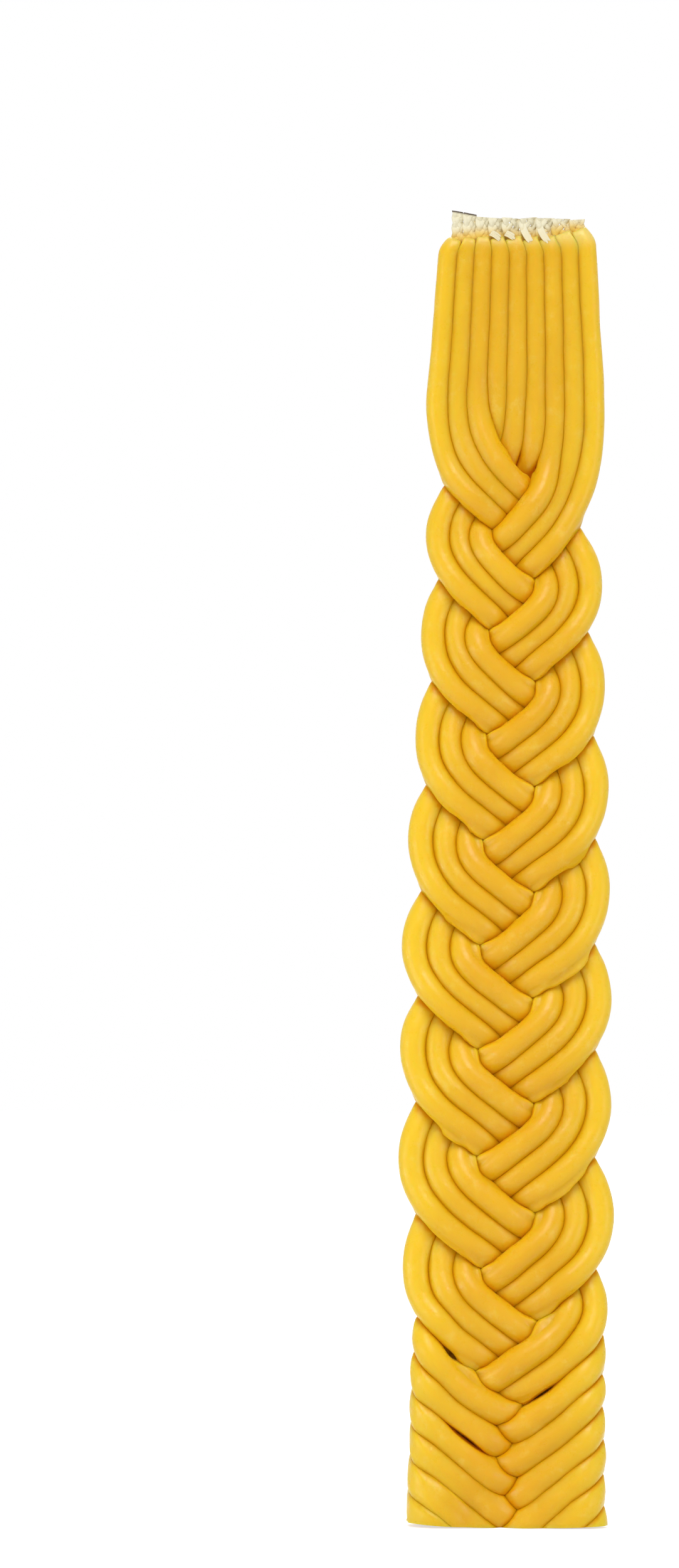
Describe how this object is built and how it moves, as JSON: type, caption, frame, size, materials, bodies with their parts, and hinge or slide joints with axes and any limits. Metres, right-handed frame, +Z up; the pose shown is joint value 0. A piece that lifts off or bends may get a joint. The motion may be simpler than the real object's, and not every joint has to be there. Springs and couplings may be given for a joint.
{
  "type": "havdalah candle",
  "caption": "Flat braided ritual candle: slim wax tapers, each on its own cotton wick, stand in a row at the top, are plaited down their length and cut level at the foot.",
  "frame": {"origin": "under the middle of the flat-cut foot, on the surface that the candle stands on", "axes": "+Z up along the candle towards the wicks, +X across its width, -Y towards the front as pictured"},
  "size_m": [0.0415, 0.0136, 0.254],
  "materials": {
    "wax": "honey-yellow beeswax, satin, slightly translucent",
    "wick": "cream braided cotton, lightly waxed"
  },
  "bodies": {
    "root": {"wax_taper_1": "wax", "wax_taper_2": "wax", "wax_taper_3": "wax", "wax_taper_4": "wax", "wax_taper_5": "wax", "wax_taper_6": "wax", "wax_taper_7": "wax", "wax_taper_8": "wax", "wax_taper_9": "wax", "wick_1": "wick", "wick_2": "wick", "wick_3": "wick", "wick_4": "wick", "wick_5": "wick", "wick_6": "wick", "wick_7": "wick", "wick_8": "wick", "wick_9": "wick"}
  },
  "joints": []
}
